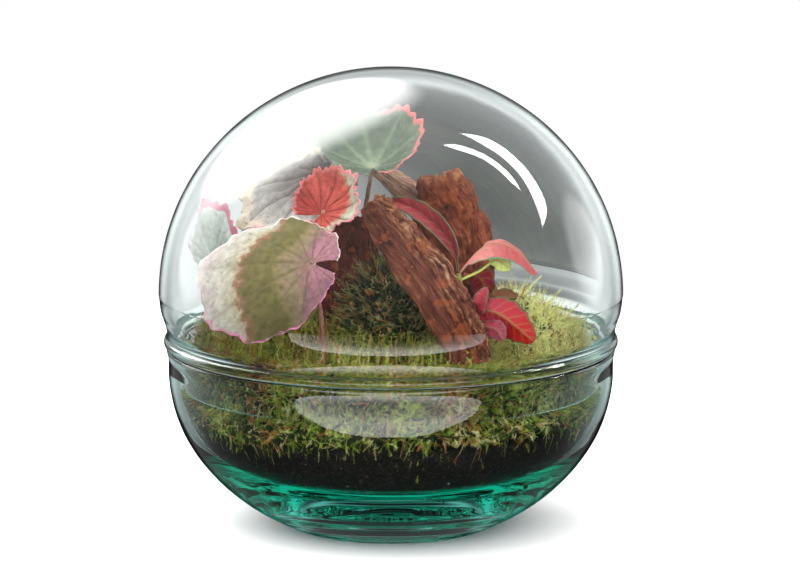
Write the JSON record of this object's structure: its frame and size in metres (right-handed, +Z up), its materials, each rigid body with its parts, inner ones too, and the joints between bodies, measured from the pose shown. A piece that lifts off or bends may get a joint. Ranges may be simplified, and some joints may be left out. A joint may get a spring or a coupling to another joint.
{
  "type": "glass plant terrarium",
  "caption": "Round clear glass terrarium: a bowl with a thick base and a fitted dome lid around potting soil, moss, bark, a begonia-like saxifrage and a small red-leaved fittonia.",
  "frame": {"origin": "centre of the bowl's flat base, at the height of the surface it stands on", "axes": "+Z up, the axis of the bowl and the dome; -Y is the front of the planting, +X its right seen from the front"},
  "size_m": [0.23, 0.23, 0.2278],
  "materials": {
    "soda_lime_glass": "polished",
    "potting_soil": "matte",
    "sheet_moss": "matte",
    "cushion_moss": "matte",
    "redwood_bark": "matte",
    "saxifrage_leaf": "satin",
    "saxifrage_crown": "matte",
    "fittonia_leaf": "satin",
    "fittonia_stem": "satin"
  },
  "bodies": {
    "root": {"bark_chunk_right": "redwood_bark", "bark_piece_left": "redwood_bark", "bark_slab_front": "redwood_bark", "bark_stick_back": "redwood_bark", "fittonia_leaf_arch": "fittonia_leaf", "fittonia_leaf_long": "fittonia_leaf", "fittonia_leaf_maroon": "fittonia_leaf", "fittonia_leaf_pink": "fittonia_leaf", "fittonia_leaf_rear": "fittonia_leaf", "fittonia_leaf_red": "fittonia_leaf", "fittonia_leaf_small": "fittonia_leaf", "fittonia_leaf_young": "fittonia_leaf", "fittonia_stem": "fittonia_stem", "glass_bowl": "soda_lime_glass", "glass_dome": "soda_lime_glass", "moss_back": "sheet_moss", "moss_front": "sheet_moss", "moss_left": "sheet_moss", "moss_mound": "cushion_moss", "moss_right": "sheet_moss", "saxifrage_crown": "saxifrage_crown", "saxifrage_leaf_back": "saxifrage_leaf", "saxifrage_leaf_back_low": "saxifrage_leaf", "saxifrage_leaf_coral": "saxifrage_leaf", "saxifrage_leaf_far_left": "saxifrage_leaf", "saxifrage_leaf_front": "saxifrage_leaf", "saxifrage_leaf_mauve": "saxifrage_leaf", "saxifrage_leaf_small": "saxifrage_leaf", "saxifrage_leaf_top": "saxifrage_leaf", "soil": "potting_soil"}
  },
  "joints": []
}
